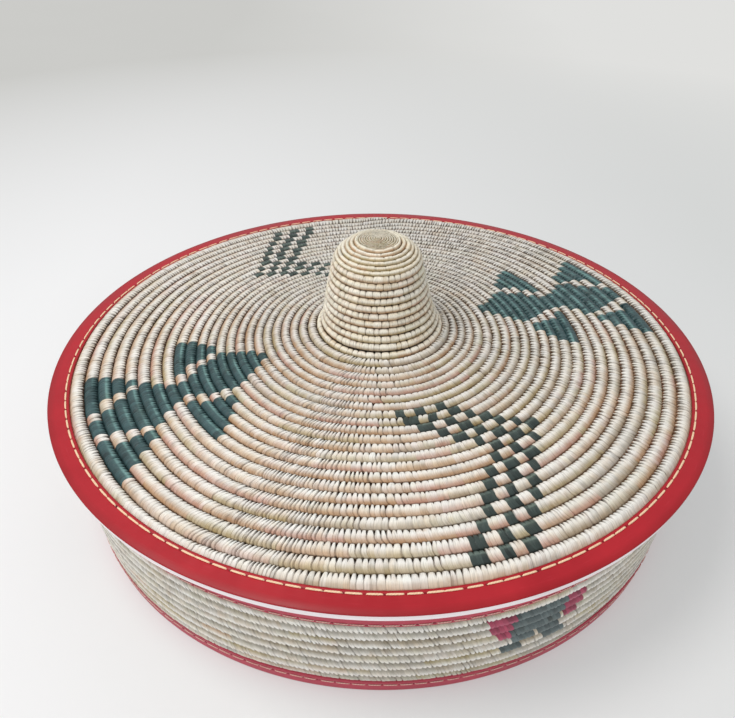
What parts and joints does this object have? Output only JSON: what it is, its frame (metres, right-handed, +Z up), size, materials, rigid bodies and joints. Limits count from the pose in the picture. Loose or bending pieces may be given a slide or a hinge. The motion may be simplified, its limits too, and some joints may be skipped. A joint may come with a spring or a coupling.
{
  "type": "lidded coiled basket",
  "caption": "Low round coiled basket with leather-bound edges and a lift-off shallow conical lid with a hollow knob and woven geometric motifs.",
  "frame": {"origin": "centre of the foot, in the plane that the basket stands on", "axes": "+Z up along the basket's axis; -Y towards the side that the picture shows at the front"},
  "size_m": [0.5, 0.5, 0.2006],
  "materials": {
    "base_straw": "matt wrapped straw",
    "lid_straw": "matt wrapped straw",
    "knob_straw": "matt wrapped straw",
    "lid_leather": "smooth satin",
    "base_leather": "smooth satin",
    "board": "smooth satin",
    "thread": "waxed"
  },
  "bodies": {
    "base": {"base_floor_coil": "base_straw", "base_wall_coil": "base_straw", "base_rim_binding": "base_leather", "base_rim_thread": "thread", "base_foot_binding": "base_leather", "base_foot_thread": "thread"},
    "lid": {"lid_disc_coil": "lid_straw", "lid_knob_coil": "knob_straw", "lid_knob_cap": "knob_straw", "lid_rim_leather": "lid_leather", "lid_rim_board": "board", "lid_rim_thread": "thread", "lid_seat_ring": "lid_straw"}
  },
  "joints": [
    {"name": "lid_lift", "type": "slide", "parent": "base", "child": "lid", "axis": [0, 0, 1], "range_m": [0, 0.25]}
  ]
}
